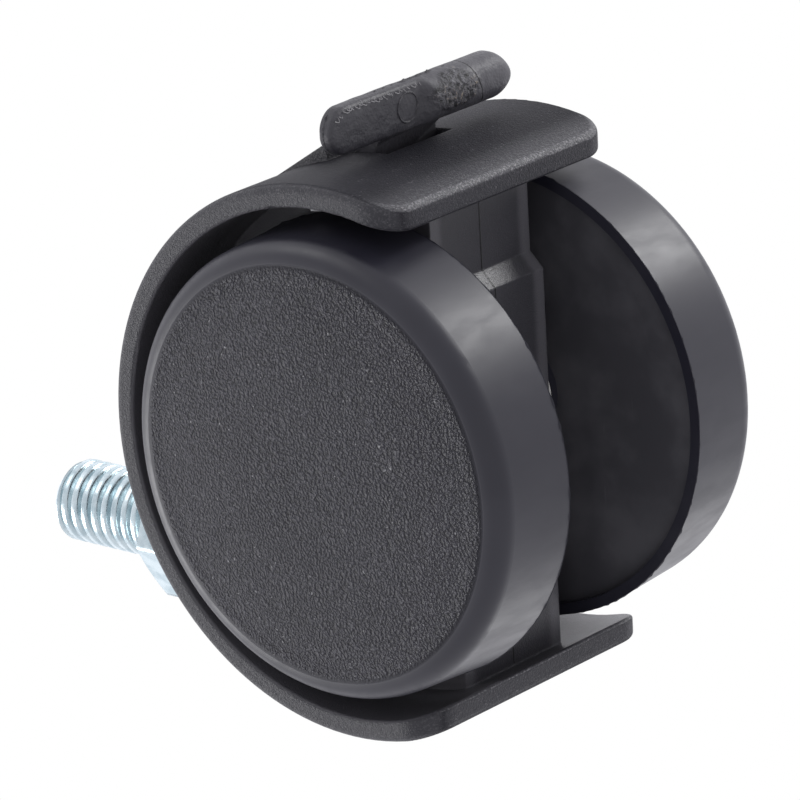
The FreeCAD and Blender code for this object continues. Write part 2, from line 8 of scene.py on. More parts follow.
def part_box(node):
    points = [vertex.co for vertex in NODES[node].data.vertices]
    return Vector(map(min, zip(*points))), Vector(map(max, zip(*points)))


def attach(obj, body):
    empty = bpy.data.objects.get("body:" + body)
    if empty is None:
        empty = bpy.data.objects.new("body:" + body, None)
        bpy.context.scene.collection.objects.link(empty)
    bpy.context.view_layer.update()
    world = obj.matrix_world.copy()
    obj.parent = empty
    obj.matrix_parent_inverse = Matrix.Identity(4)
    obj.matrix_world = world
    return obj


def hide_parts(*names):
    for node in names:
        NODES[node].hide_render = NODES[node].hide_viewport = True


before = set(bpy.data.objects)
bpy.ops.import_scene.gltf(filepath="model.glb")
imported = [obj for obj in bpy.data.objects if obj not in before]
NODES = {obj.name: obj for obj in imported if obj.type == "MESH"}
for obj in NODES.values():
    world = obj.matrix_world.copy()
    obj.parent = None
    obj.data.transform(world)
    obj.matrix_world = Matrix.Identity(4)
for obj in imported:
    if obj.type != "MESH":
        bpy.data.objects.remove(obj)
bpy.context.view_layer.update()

MM = 0.001
FULL_TURN = 2 * math.pi


def middle(node):
    low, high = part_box(node)
    return (Vector(low) + Vector(high)) / 2


AXLE = middle("axle")

# ---------------------------------------------------------------- camera, lights and floor

CAMERA_AZIMUTH = 23.85  # degrees from -Y towards +X
CAMERA_ELEVATION = -38.08  # the caster is seen from below its floor
CAMERA_ROLL = -77.9  # the stem points to the left of the picture
CAMERA_DISTANCE = 0.5623
CAMERA_LENS = 282.25
SENSOR_WIDTH = 36
CLIP_START = 0.01
AIM_LEFT = 4.05 * MM  # from the axle's centre to the picture's centre
AIM_UP = 1.52 * MM

ROOM_TINT = (0.955, 0.95, 1, 1)
ROOM_FRONT = 0.85  # brightness of the room on the camera's side
ROOM_BEHIND = 1.25  # and behind the caster, where the white backdrop is
FRONT_COSINE = 0.35  # how nearly a direction points at the camera where the front brightness begins
BEHIND_COSINE = -0.85  # and where the brightness behind begins

FLOOR_HALF = 3.0
FLOOR_TONE = (0.82, 0.82, 0.82, 1)
FLOOR_ROUGHNESS = 0.6


def camera_turn():
    azimuth = Matrix.Rotation(math.radians(CAMERA_AZIMUTH), 3, "Z")
    tilt = Matrix.Rotation(math.radians(90 - CAMERA_ELEVATION), 3, "X")
    roll = Matrix.Rotation(math.radians(CAMERA_ROLL), 3, "Z")
    return azimuth @ tilt @ roll


CAMERA_TURN = camera_turn()
RIGHT, UP, BACK = (CAMERA_TURN.col[axis].copy() for axis in range(3))
AIM = AXLE - RIGHT * AIM_LEFT + UP * AIM_UP


def make_camera():
    data = bpy.data.cameras.new("camera")
    data.lens = CAMERA_LENS
    data.sensor_width = SENSOR_WIDTH
    data.clip_start = CLIP_START
    camera = bpy.data.objects.new("camera", data)
    camera.matrix_world = Matrix.Translation(AIM + BACK * CAMERA_DISTANCE) @ CAMERA_TURN.to_4x4()
    bpy.context.collection.objects.link(camera)
    bpy.context.scene.camera = camera


def make_softbox(name, right, up, back, side, brightness):
    """A square lit panel, placed in metres along the camera's own directions and facing the caster."""
    data = bpy.data.lights.new(name, "AREA")
    data.shape = "SQUARE"
    data.size = side
    data.energy = brightness * math.pi * side * side
    light = bpy.data.objects.new(name, data)
    offset = RIGHT * right + UP * up + BACK * back
    light.location = AIM + offset
    light.rotation_euler = offset.to_track_quat("Z", "Y").to_euler()
    light.visible_camera = False
    bpy.context.collection.objects.link(light)


def make_world():
    """White to the camera. Round the caster the light falls off from the backdrop to the camera's side."""
    world = bpy.data.worlds.new("studio")
    world.use_nodes = True
    tree = world.node_tree
    tree.nodes.clear()
    way = add(tree, "ShaderNodeTexCoord").outputs["Generated"]
    towards = cosine_between(tree, way, BACK)
    strength = spread(tree, towards, FRONT_COSINE, BEHIND_COSINE, ROOM_FRONT, ROOM_BEHIND)
    seen = add(tree, "ShaderNodeBackground", {"Color": (1, 1, 1, 1), "Strength": 1.0}).outputs[0]
    room = add(tree, "ShaderNodeBackground", {"Color": ROOM_TINT, "Strength": strength}).outputs[0]
    to_camera = add(tree, "ShaderNodeLightPath").outputs["Is Camera Ray"]
    add(tree, "ShaderNodeOutputWorld", {"Surface": blend_shaders(tree, to_camera, room, seen)})
    bpy.context.scene.world = world


def make_floor():
    """Pale floor under the wheels. Only its upper side shows, because the camera looks up through it."""
    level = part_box("wheel_left")[0][2]
    signs = ((-1, -1), (1, -1), (1, 1), (-1, 1))
    corners = [(FLOOR_HALF * x, FLOOR_HALF * y, level) for x, y in signs]
    floor = new_piece("floor", corners, [(0, 1, 2, 3)])
    material, tree, shader = new_finish("floor")
    shader.inputs["Base Color"].default_value = FLOOR_TONE
    shader.inputs["Roughness"].default_value = FLOOR_ROUGHNESS
    from_below = add(tree, "ShaderNodeNewGeometry").outputs["Backfacing"]
    clear = add(tree, "ShaderNodeBsdfTransparent").outputs[0]
    surface = blend_shaders(tree, from_below, shader.outputs[0], clear)
    tree.links.new(surface, tree.nodes["Material Output"].inputs["Surface"])
    floor.data.materials.append(material)
    floor.visible_shadow = False
    floor.visible_diffuse = False
    floor.visible_glossy = False


# ---------------------------------------------------------------- helpers for nodes

LUMP_SHARE = 0.6  # size of a lump of noise, as a share of the noise's own unit
FLAT_COSINE = 0.99  # between the rounded normal and the plain one, on a face
EDGE_COSINE = 0.85  # and on an edge


def add(tree, kind, inputs=None, **settings):
    """A new node with its settings and inputs; an input that is a socket is linked, any other is a value."""
    node = tree.nodes.new(kind)
    for key, value in settings.items():
        setattr(node, key, value)
    for key, value in (inputs or {}).items():
        socket = node.inputs[key]
        if isinstance(value, bpy.types.NodeSocket):
            tree.links.new(value, socket)
        else:
            socket.default_value = value
    return node


def new_finish(name):
    """A material with its node tree and its main shader."""
    material = bpy.data.materials.new(name)
    material.use_nodes = True
    tree = material.node_tree
    return material, tree, tree.nodes["Principled BSDF"]


def feed(tree, shader, sources):
    """Links each source to the shader's input of that name."""
    for name, source in sources.items():
        tree.links.new(source, shader.inputs[name])


def place(tree):
    """Object coordinates in metres: the pattern stays on its piece as it moves."""
    return add(tree, "ShaderNodeTexCoord").outputs["Object"]


def calculate(tree, operation, *values):
    return add(tree, "ShaderNodeMath", dict(enumerate(values)), operation=operation).outputs[0]


def chain(tree, operation, first, others):
    """The two-value operation, applied to the values one after another."""
    for other in others:
        first = calculate(tree, operation, first, other)
    return first


def product(tree, first, *others):
    return chain(tree, "MULTIPLY", first, others)


def total(tree, first, *others):
    return chain(tree, "ADD", first, others)


def largest(tree, first, *others):
    return chain(tree, "MAXIMUM", first, others)


def cosine_between(tree, direction, other):
    inputs = {0: direction, 1: other}
    return add(tree, "ShaderNodeVectorMath", inputs, operation="DOT_PRODUCT").outputs["Value"]


def speckle(tree, size, detail=2.0, roughness=0.5, stretch=None):
    """Noise whose lumps are about the given size in metres; stretch scales it along X, Y and Z."""
    where = place(tree)
    if stretch:
        where = add(tree, "ShaderNodeMapping", {"Vector": where, "Scale": stretch}).outputs[0]
    inputs = {"Vector": where, "Scale": LUMP_SHARE / size, "Detail": detail, "Roughness": roughness}
    return add(tree, "ShaderNodeTexNoise", inputs).outputs["Fac"]


def spread(tree, value, low, high, start=0.0, end=1.0):
    """Maps low..high to start..end, held at both ends."""
    inputs = {"Value": value, "From Min": low, "From Max": high, "To Min": start, "To Max": end}
    node = add(tree, "ShaderNodeMapRange", inputs, clamp=True, interpolation_type="SMOOTHSTEP")
    return node.outputs["Result"]


def blend_values(tree, share, first, second):
    return add(tree, "ShaderNodeMix", {0: share, 2: first, 3: second}, data_type="FLOAT").outputs[0]


def blend_colours(tree, share, first, second):
    """The mix node's inputs 6 and 7 are its colours, and its output 2 is theirs."""
    node = add(tree, "ShaderNodeMix", {"Factor": share}, data_type="RGBA")
    for key, colour in ((6, first), (7, second)):
        if isinstance(colour, bpy.types.NodeSocket):
            tree.links.new(colour, node.inputs[key])
        else:
            node.inputs[key].default_value = (*colour, 1)
    return node.outputs[2]


def blend_shaders(tree, share, first, second):
    return add(tree, "ShaderNodeMixShader", {0: share, 1: first, 2: second}).outputs[0]


def edge_share(tree, radius):
    """Near 1 on the edges within the radius and 0 on flat faces, with the normal that rounds the edges."""
    rounded = add(tree, "ShaderNodeBevel", {"Radius": radius}, samples=4).outputs[0]
    plain = add(tree, "ShaderNodeNewGeometry").outputs["Normal"]
    return spread(tree, cosine_between(tree, rounded, plain), FLAT_COSINE, EDGE_COSINE), rounded


def facing(tree, way):
    """How squarely the surface faces the direction: 1 square on, 0 edge on, negative away from it."""
    normal = add(tree, "ShaderNodeNewGeometry").outputs["Normal"]
    spaces = {"vector_type": "NORMAL", "convert_from": "WORLD", "convert_to": "OBJECT"}
    local = add(tree, "ShaderNodeVectorTransform", {0: normal}, **spaces).outputs[0]
    return cosine_between(tree, local, Vector(way).normalized())


def relief(tree, height, depth, normal=None):
    """The surface normal over bumps of the given depth in metres."""
    inputs = {"Height": height, "Distance": depth, "Strength": 1.0}
    if normal:
        inputs["Normal"] = normal
    return add(tree, "ShaderNodeBump", inputs).outputs[0]


def wheel_zones(tree):
    """Distance from the axle and from the caster's middle plane, in metres."""
    parts = add(tree, "ShaderNodeSeparateXYZ", {0: place(tree)})
    across = calculate(tree, "SUBTRACT", parts.outputs["X"], AXLE.x)
    up = calculate(tree, "SUBTRACT", parts.outputs["Z"], AXLE.z)
    squares = total(tree, product(tree, across, across), product(tree, up, up))
    return calculate(tree, "SQRT", squares), calculate(tree, "ABSOLUTE", parts.outputs["Y"])


# ---------------------------------------------------------------- finish of the hood

HOOD_INSIDE = 23.5 * MM  # radius of the hood's inner side about the axle
DARK_HALF = 5 * MM  # the web's darker colour reaches this far from the middle plane, then fades into the inner side's paler tone, which is painted light
GROOVE_HALF = 0.05 * MM  # half the width of the mould's parting line
# near black groove colour: painted shade in the parting line's groove
GROOVE_PAINTED_SHADE = (0.003, 0.003, 0.003)


def parting_line(tree, radius, side):
    """1 in the thin groove that the mould's halves left down the middle of the web, and 0 elsewhere."""
    groove = spread(tree, side, GROOVE_HALF + 0.06 * MM, GROOVE_HALF)
    on_web = spread(tree, radius, HOOD_INSIDE - 0.1 * MM, HOOD_INSIDE - 0.3 * MM)
    return product(tree, groove, on_web)


def hood_wear_and_highlight(tree):
    """How rubbed the hood is, most on its front lip and least on its flaps' ends, and the lip's own share; on
    the lip and the rims the rubbed paleness is also a painted highlight.
    """
    rim = spread(tree, calculate(tree, "ABSOLUTE", facing(tree, (0, 1, 0))), 0.25, 0.6, 0.0, 0.6)
    flap_end = spread(tree, facing(tree, (0, 0, -1)), 0.9, 0.98, 0.0, 0.4)
    # the lip's pale band is a painted highlight on the bevel between the flap's top and its front
    lip_highlight = spread(tree, facing(tree, (1, 0, -1)), 0.8, 0.93)
    return largest(tree, rim, flap_end, lip_highlight), lip_highlight


def hood_flecks(tree, worn_and_highlit, lip_highlight):
    """Pale flecks: a few everywhere, and many where the hood is rubbed, more on the lip, where they are also
    painted glints of its highlight.
    """
    few = spread(tree, speckle(tree, 0.12 * MM, 0.0), 0.75, 0.8, 0.0, 0.5)
    many = spread(tree, speckle(tree, 0.13 * MM, 1.0), 0.5, 0.68)
    on_lip_highlight = spread(tree, lip_highlight, 0.0, 1.0, 0.35, 0.9)
    return largest(tree, few, product(tree, many, worn_and_highlit, on_lip_highlight))


def hood_base(tree, side, outside, worn_and_highlit):
    """The nylon's colour: near black outside, a little paler where rubbed, which on the lip and the rims is
    also a painted highlight, and paler on the inner side as painted light.
    """
    darkest, dark, rubbed = (0.006, 0.0058, 0.0095), (0.014, 0.0136, 0.0185), (0.034, 0.0335, 0.041)
    # inner side: a paler tone as painted light, standing in for the light that reaches the hood's inside
    web, painted_lit_inner = (0.036, 0.0352, 0.041), (0.085, 0.083, 0.092)
    clouds = spread(tree, speckle(tree, 9 * MM, 3.0), 0.35, 0.65)
    outer = blend_colours(tree, clouds, darkest, dark)
    # the paler tone where rubbed is also a painted highlight on the lip and the rims
    outer = blend_colours(tree, product(tree, worn_and_highlit, 0.7), outer, rubbed)
    off_web = spread(tree, side, DARK_HALF, DARK_HALF + 1 * MM)
    inner = blend_colours(tree, off_web, web, painted_lit_inner)
    return blend_colours(tree, outside, inner, outer)


def hood_finish():
    """Black moulded nylon with a fine spark-eroded grain, paler where its edges are rubbed; the paler lip and
    rims also carry a painted highlight, the inner side is painted paler as painted light, and the parting
    line's groove gets painted shade.
    """
    material, tree, shader = new_finish("black_nylon_moulded")
    fleck = (0.17, 0.165, 0.175)
    radius, side = wheel_zones(tree)
    outside = spread(tree, radius, HOOD_INSIDE + 0.03 * MM, HOOD_INSIDE + 0.25 * MM)
    wear_and_highlight, lip_highlight = hood_wear_and_highlight(tree)
    worn_and_highlit = product(tree, wear_and_highlight, outside)
    edges, rounded = edge_share(tree, 0.3 * MM)
    flecks = product(tree, hood_flecks(tree, worn_and_highlit, lip_highlight), outside, 0.8)
    scraped = product(tree, edges, spread(tree, speckle(tree, 0.3 * MM, 3.0), 0.4, 0.62, 0.0, 0.45))
    line = parting_line(tree, radius, side)
    colour = blend_colours(tree, largest(tree, flecks, scraped), hood_base(tree, side, outside, worn_and_highlit), fleck)
    fine = speckle(tree, 0.09 * MM, 2.0, 0.6)
    coarse = product(tree, speckle(tree, 0.24 * MM, 2.0), 0.5)
    height = calculate(tree, "SUBTRACT", total(tree, fine, coarse), line)
    depth = spread(tree, outside, 0.0, 1.0, 0.04 * MM, 0.1 * MM)
    feed(tree, shader, {
        # the parting line's groove is painted near black as painted shade
        "Base Color": blend_colours(tree, line, colour, GROOVE_PAINTED_SHADE),
        "Roughness": blend_values(tree, worn_and_highlit, blend_values(tree, outside, 0.36, 0.6), 0.36),
        "Specular IOR Level": blend_values(tree, worn_and_highlit, blend_values(tree, outside, 0.5, 0.2), 0.6),
        "Normal": relief(tree, height, depth, rounded),
    })
    return material


# ---------------------------------------------------------------- finish of the wheels

GRAIN_RADIUS = 18.7 * MM  # the grain is full within this radius of the wheel's outer face
GRAIN_SIDE = 18.2 * MM  # and beyond this distance from the caster's middle plane
BORDER_WIDTH = 1.5 * MM  # of the coarser grain round the disc


def wheel_colour(tree, disc, grain):
    """Near black in soft clouds; on the disc, pits are darker with painted shade, peaks are paler with
    painted highlights, and some specks are dust.
    """
    darkest, dark = (0.0125, 0.0122, 0.02), (0.0205, 0.02, 0.0288)
    # pit and peak tones: painted shade in the grain's pits and painted highlights on its peaks
    pit_shade_tone, peak_highlight_tone, speck = (0.008, 0.0077, 0.01), (0.1, 0.098, 0.11), (0.3, 0.3, 0.31)
    clouds = spread(tree, speckle(tree, 8 * MM, 3.0), 0.3, 0.7)
    pit_shade = product(tree, disc, spread(tree, grain, 0.56, 0.34, 0.0, 0.75))
    peak_highlights = product(tree, disc, spread(tree, grain, 0.54, 0.7, 0.0, 0.4))
    dust = product(tree, disc, spread(tree, speckle(tree, 0.17 * MM, 0.0), 0.82, 0.85, 0.0, 0.7))
    colour = blend_colours(tree, clouds, darkest, dark)
    colour = blend_colours(tree, pit_shade, colour, pit_shade_tone)
    colour = blend_colours(tree, peak_highlights, colour, peak_highlight_tone)
    return blend_colours(tree, dust, colour, speck)


def wheel_height(tree, disc, grain, radius):
    """The disc's grain, coarser at its border, and very low waves all over the wheel."""
    border = spread(tree, radius, GRAIN_RADIUS - BORDER_WIDTH, GRAIN_RADIUS - 0.1 * MM)
    fine = product(tree, speckle(tree, 0.1 * MM, 2.0), 0.25)
    lumps = product(tree, speckle(tree, 0.3 * MM, 2.0), border, 0.8)
    waves = product(tree, speckle(tree, 3 * MM, 1.0), 0.005)
    return total(tree, product(tree, total(tree, grain, fine, lumps), disc), waves)


def wheel_finish():
    """Black nylon: grained like orange peel on the disc, smooth on the shoulder and on the tread."""
    material, tree, shader = new_finish("wheel_nylon_moulded")
    radius, side = wheel_zones(tree)
    within = spread(tree, radius, GRAIN_RADIUS + 0.5 * MM, GRAIN_RADIUS)
    disc = product(tree, within, spread(tree, side, GRAIN_SIDE - 0.3 * MM, GRAIN_SIDE))
    grain = speckle(tree, 0.15 * MM, 1.0)
    scuffs = spread(tree, speckle(tree, 1.2 * MM, 4.0, 0.6, (1, 0.35, 1)), 0.35, 0.7, 0.37, 0.45)
    feed(tree, shader, {
        "Base Color": wheel_colour(tree, disc, grain),
        "Roughness": blend_values(tree, disc, scuffs, 0.42),
        "Specular IOR Level": blend_values(tree, disc, 0.5, 0.36),
        "Normal": relief(tree, wheel_height(tree, disc, grain, radius), 0.42 * MM),
    })
    return material


def cover_finish():
    """Dark nylon of the inner covers, with smudges and a few scratches."""
    material, tree, shader = new_finish("cover_nylon_moulded")
    dark, pale, scratch = (0.052, 0.051, 0.058), (0.075, 0.0735, 0.082), (0.09, 0.09, 0.1)
    smudges = speckle(tree, 4 * MM, 4.0, 0.6)
    scratches = spread(tree, speckle(tree, 0.9 * MM, 3.0, 0.7, (0.12, 1, 1)), 0.66, 0.75, 0.0, 0.35)
    base = blend_colours(tree, spread(tree, smudges, 0.4, 0.7), dark, pale)
    feed(tree, shader, {
        "Base Color": blend_colours(tree, scratches, base, scratch),
        "Roughness": spread(tree, smudges, 0.3, 0.7, 0.36, 0.6),
        "Normal": relief(tree, speckle(tree, 0.3 * MM, 3.0), 0.012 * MM),
    })
    return material


# ---------------------------------------------------------------- finish of the brake lever

PLATE_HALF = 0.7 * MM  # half the thickness of the pedal's plate
PLATE_CROWN = 0.3 * MM  # how far the plate's lower face swells
GRIP_DEPTH = 2.2 * MM  # the grip's lowest point below the plate's middle
PEDAL_WIDTH = 4.4 * MM
END_BULGE = 0.2 * MM  # how far the moulded pedal's ends stand past the lever's solid
SCAR_ACROSS, SCAR_ALONG = 0.5 * MM, 3.8 * MM  # middle of the gate's scar, across the pedal and along it
SCAR_STRETCH = (1.6, 3.0, 3.0)  # the scar's shape across the pedal, along it and up
KNIT_PLACE = 6.9 * MM  # where the knit line crosses the grip's middle
KNIT_SLANT = 0.31
# near black: painted shade in the gate scar's pits
TORN_PIT_SHADE = (0.008, 0.008, 0.009)
# near black: painted shade in the knit line's crease
KNIT_PAINTED_SHADE = (0.006, 0.006, 0.007)


def pedal_place():
    """The pedal's middle point, half width and half length, from the lever's box."""
    low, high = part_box("brake_lever")
    half_width = PEDAL_WIDTH / 2
    centre = Vector((high[0] - half_width, 0, low[2] + GRIP_DEPTH))
    return centre, half_width, high[1] + END_BULGE


def near_scar(tree):
    """1 on the rough scar that the gate left on the pedal's grip, and 0 away from it."""
    centre = pedal_place()[0]
    scar = centre + Vector((SCAR_ACROSS, SCAR_ALONG, -GRIP_DEPTH))
    shifted = add(tree, "ShaderNodeMapping", {"Vector": place(tree), "Location": -scar}).outputs[0]
    squeeze = tuple(1 / stretch for stretch in SCAR_STRETCH)
    evened = add(tree, "ShaderNodeVectorMath", {0: shifted, 1: squeeze}, operation="MULTIPLY").outputs[0]
    away = add(tree, "ShaderNodeVectorMath", {0: evened}, operation="LENGTH").outputs["Value"]
    wander = product(tree, speckle(tree, 0.9 * MM, 3.0), 0.8 * MM)
    return spread(tree, calculate(tree, "SUBTRACT", away, wander), 0.75 * MM, 0.45 * MM)


def knit_line(tree):
    """1 along the slanting line across the grip where the plastic met, and 0 elsewhere."""
    centre = pedal_place()[0]
    parts = add(tree, "ShaderNodeSeparateXYZ", {0: place(tree)})
    across = calculate(tree, "SUBTRACT", parts.outputs["X"], centre.x)
    waver = product(tree, speckle(tree, 0.8 * MM, 2.0), 0.4 * MM)
    level = total(tree, product(tree, across, -KNIT_SLANT), waver, KNIT_PLACE)
    away = calculate(tree, "ABSOLUTE", calculate(tree, "SUBTRACT", parts.outputs["Y"], level))
    return spread(tree, away, 0.1 * MM, 0.03 * MM)


def lever_layers(tree):
    """Colour, roughness and normal of the lever's nylon: satin, with soft flow marks and rubbed edges."""
    dark, pale, rubbed = (0.026, 0.0252, 0.031), (0.052, 0.0505, 0.058), (0.2, 0.195, 0.205)
    edges, rounded = edge_share(tree, 0.3 * MM)
    flow = speckle(tree, 2.5 * MM, 4.0, 0.6, (1, 0.45, 1))
    base = blend_colours(tree, spread(tree, flow, 0.35, 0.7), dark, pale)
    scraped = product(tree, edges, spread(tree, speckle(tree, 0.3 * MM, 3.0), 0.42, 0.6, 0.0, 0.5))
    fine = product(tree, speckle(tree, 0.15 * MM, 3.0, 0.6), 0.35)
    height = total(tree, fine, flow, speckle(tree, 0.6 * MM, 2.0))
    colour = blend_colours(tree, scraped, base, rubbed)
    return colour, spread(tree, flow, 0.3, 0.7, 0.42, 0.6), relief(tree, height, 0.1 * MM, rounded)


def lever_finish():
    material, tree, shader = new_finish("lever_nylon_moulded")
    colour, roughness, normal = lever_layers(tree)
    feed(tree, shader, {"Base Color": colour, "Roughness": roughness, "Normal": normal})
    return material


def torn_colour(tree, scar, crumbs, colour):
    """The colour with painted shade in the scar's pits and its torn grey and beige crumbs."""
    grey, beige = (0.13, 0.13, 0.14), (0.2, 0.165, 0.125)
    # painted shade darkens the scar's low hollows
    pit_shade = product(tree, scar, spread(tree, crumbs, 0.52, 0.4))
    torn = product(tree, scar, spread(tree, crumbs, 0.55, 0.66))
    tint = blend_colours(tree, spread(tree, speckle(tree, 1.5 * MM, 1.0), 0.45, 0.6), grey, beige)
    return blend_colours(tree, torn, blend_colours(tree, pit_shade, colour, TORN_PIT_SHADE), tint)


def pedal_finish():
    """The lever's nylon, paler towards the grip's end, with the gate's scar and the knit line, both darkened
    with painted shade in their hollows.
    """
    material, tree, shader = new_finish("pedal_nylon_moulded")
    grip_pale = (0.085, 0.083, 0.093)
    colour, roughness, normal = lever_layers(tree)
    along = add(tree, "ShaderNodeSeparateXYZ", {0: place(tree)}).outputs["Y"]
    colour = blend_colours(tree, spread(tree, along, -4 * MM, 10 * MM, 0.0, 0.7), colour, grip_pale)
    scar = near_scar(tree)
    crumbs = speckle(tree, 0.3 * MM, 3.0, 0.65)
    colour = torn_colour(tree, scar, crumbs, colour)
    line = knit_line(tree)
    height = calculate(tree, "SUBTRACT", product(tree, crumbs, scar), line)
    feed(tree, shader, {
        # the knit line's crease is painted near black as painted shade
        "Base Color": blend_colours(tree, product(tree, line, 0.8), colour, KNIT_PAINTED_SHADE),
        "Roughness": roughness,
        "Normal": relief(tree, height, 0.25 * MM, normal),
    })
    return material


def burr_finish():
    """Thin shavings of nylon, paler than the piece that they come from."""
    material, tree, shader = new_finish("nylon_shavings")
    dark, pale = (0.12, 0.118, 0.125), (0.42, 0.41, 0.42)
    shader.inputs["Roughness"].default_value = 0.45
    feed(tree, shader, {
        "Base Color": blend_colours(tree, speckle(tree, 0.4 * MM, 2.0), dark, pale),
        "Normal": relief(tree, speckle(tree, 0.1 * MM, 2.0), 0.01 * MM),
    })
    return material


# ---------------------------------------------------------------- finishes of the metal and the bushes


def metal_finish(name, pale, dark, roughness, lump):
    """Plated or bare steel, with a mottled tone, bright edges and small dents."""
    material, tree, shader = new_finish(name)
    bright = (0.92, 0.92, 0.92)
    edges, rounded = edge_share(tree, 0.12 * MM)
    mottle = spread(tree, speckle(tree, lump, 4.0, 0.6), 0.35, 0.65)
    base = blend_colours(tree, mottle, dark, pale)
    smears = speckle(tree, lump / 3, 3.0)
    dents = speckle(tree, lump / 4, 3.0)
    shader.inputs["Metallic"].default_value = 1.0
    feed(tree, shader, {
        "Base Color": blend_colours(tree, product(tree, edges, 0.5), base, bright),
        "Roughness": spread(tree, smears, 0.3, 0.7, roughness * 0.75, roughness * 1.35),
        "Normal": relief(tree, dents, 0.01 * MM, rounded),
    })
    return material


def bush_finish():
    """Off-white acetal of the bush and the spacers."""
    material, tree, shader = new_finish("bush_acetal_turned")
    dark, pale = (0.62, 0.61, 0.56), (0.74, 0.73, 0.69)
    cloud = spread(tree, speckle(tree, 1.5 * MM, 3.0), 0.3, 0.7)
    shader.inputs["Roughness"].default_value = 0.42
    feed(tree, shader, {
        "Base Color": blend_colours(tree, cloud, dark, pale),
        "Normal": relief(tree, speckle(tree, 0.2 * MM, 3.0), 0.01 * MM),
    })
    return material


def dress_frame():
    """Gives every carried-over CAD node the finish of its material slot."""
    zinc_pale, zinc_dark = (0.66, 0.76, 0.79), (0.48, 0.59, 0.63)
    steel_pale, steel_dark = (0.33, 0.33, 0.34), (0.2, 0.2, 0.21)
    finishes = {
        "black_nylon": hood_finish(),
        "lever_nylon": lever_finish(),
        "pedal": pedal_finish(),
        "burr": burr_finish(),
        "wheel_nylon": wheel_finish(),
        "cover_nylon": cover_finish(),
        "bush_acetal": bush_finish(),
        "zinc_steel": metal_finish("zinc_plated_steel", zinc_pale, zinc_dark, roughness=0.24, lump=1.0 * MM),
        "spring_steel": metal_finish("spring_steel", steel_pale, steel_dark, roughness=0.35, lump=0.8 * MM),
    }
    for node in NODES.values():
        for slot in node.material_slots:
            slot.material = finishes[slot.material.name]
    return finishes


# ---------------------------------------------------------------- helpers for pieces

X_AXIS, Z_AXIS = 0, 2
MERGE_DISTANCE = 0.001 * MM  # points closer than this become one
SHARP_ANGLE = math.radians(32)  # edges bent more than this stay sharp


def new_piece(name, points, faces, smooth=False):
    mesh = bpy.data.meshes.new(name)
    mesh.from_pydata([tuple(point) for point in points], [], faces)
    mesh.validate()
    mesh.polygons.foreach_set("use_smooth", [smooth] * len(mesh.polygons))
    piece = bpy.data.objects.new(name, mesh)
    bpy.context.collection.objects.link(piece)
    return piece


def copy_without(node, name, axis, limit):
    """A new piece like the CAD node, without the faces whose middle lies past the limit on the axis."""
    piece = bpy.data.objects.new(name, NODES[node].data.copy())
    bpy.context.collection.objects.link(piece)
    form = bmesh.new()
    form.from_mesh(piece.data)
    gone = [face for face in form.faces if face.calc_center_median()[axis] > limit]
    bmesh.ops.delete(form, geom=gone, context="FACES")
    bmesh.ops.remove_doubles(form, verts=form.verts, dist=MERGE_DISTANCE)
    form.to_mesh(piece.data)
    form.free()
    piece.data.polygons.foreach_set("use_smooth", [True] * len(piece.data.polygons))
    piece.data.set_sharp_from_angle(angle=SHARP_ANGLE)
    return piece


def belongs(piece, body, finish):
    """Dresses a new piece and lets it ride on its body."""
    piece.data.materials.clear()
    piece.data.materials.append(finish)
    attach(piece, body)
    return piece


def tube_faces(rings, around, closed=False):
    """Faces between neighbouring rings of points; a closed tube's last ring joins its first."""
    faces = []
    for ring in range(rings if closed else rings - 1):
        here = ring * around
        ahead = (ring + 1) % rings * around
        for turn in range(around):
            onward = (turn + 1) % around
            faces.append((here + turn, here + onward, ahead + onward, ahead + turn))
    return faces


# ---------------------------------------------------------------- threaded stem

THREAD_CREST = 3.92 * MM  # radius over the thread's crests
PITCH = 1.25 * MM
THREAD_ROWS = 10  # mesh rows in one turn of the thread
THREAD_COLUMNS = 72
THREAD_DEPTH = 0.68 * MM
THREAD_CHAMFER = 0.8 * MM
CHAMFER_SLOPE = 0.95
THREAD_FOOT = 0.0  # height of the hexagon's top face, where the thread begins
FOOT_MARGIN = 0.02 * MM  # the CAD stem's faces higher than this above the foot give way to the thread


def thread_height(share):
    """Share of the thread's depth at a share of one pitch: rounded root, straight flanks, flat crest."""
    rise = (1 - math.cos(FULL_TURN * share)) / 2
    return min(1.0, 1.9 * rise ** 0.8)


def make_thread(top):
    """Helical thread as one mesh whose rows climb with the helix, chamfered and closed at its top."""
    turns = math.ceil((top - THREAD_FOOT) / PITCH) + 1
    rows = turns * THREAD_ROWS
    end_radius = THREAD_CREST - THREAD_CHAMFER
    points, faces, rim = [], [], []
    for column in range(THREAD_COLUMNS):
        lead = column / THREAD_COLUMNS
        out = Vector((math.cos(FULL_TURN * lead), math.sin(FULL_TURN * lead), 0))
        rim.append(out * end_radius + Vector((0, 0, top)))
        last = column == THREAD_COLUMNS - 1
        rows_here = rows - THREAD_ROWS if last else rows
        for row in range(rows + 1):
            level = THREAD_FOOT + PITCH * (row / THREAD_ROWS + lead - 1)
            depth = THREAD_DEPTH * (1 - thread_height(row / THREAD_ROWS))
            chamfered = end_radius + max(0.0, top - level) * CHAMFER_SLOPE
            radius = min(THREAD_CREST - depth, chamfered)
            points.append(out * radius + Vector((0, 0, min(max(level, THREAD_FOOT), top))))
            here = column * (rows + 1) + row
            beside = row + THREAD_ROWS if last else here + rows + 1
            if level < top and row < rows_here:
                faces.append((here, beside, beside + 1, here + 1))
    faces.append(tuple(range(len(points), len(points) + THREAD_COLUMNS)))
    return new_piece("stem_thread", points + rim, faces, smooth=True)


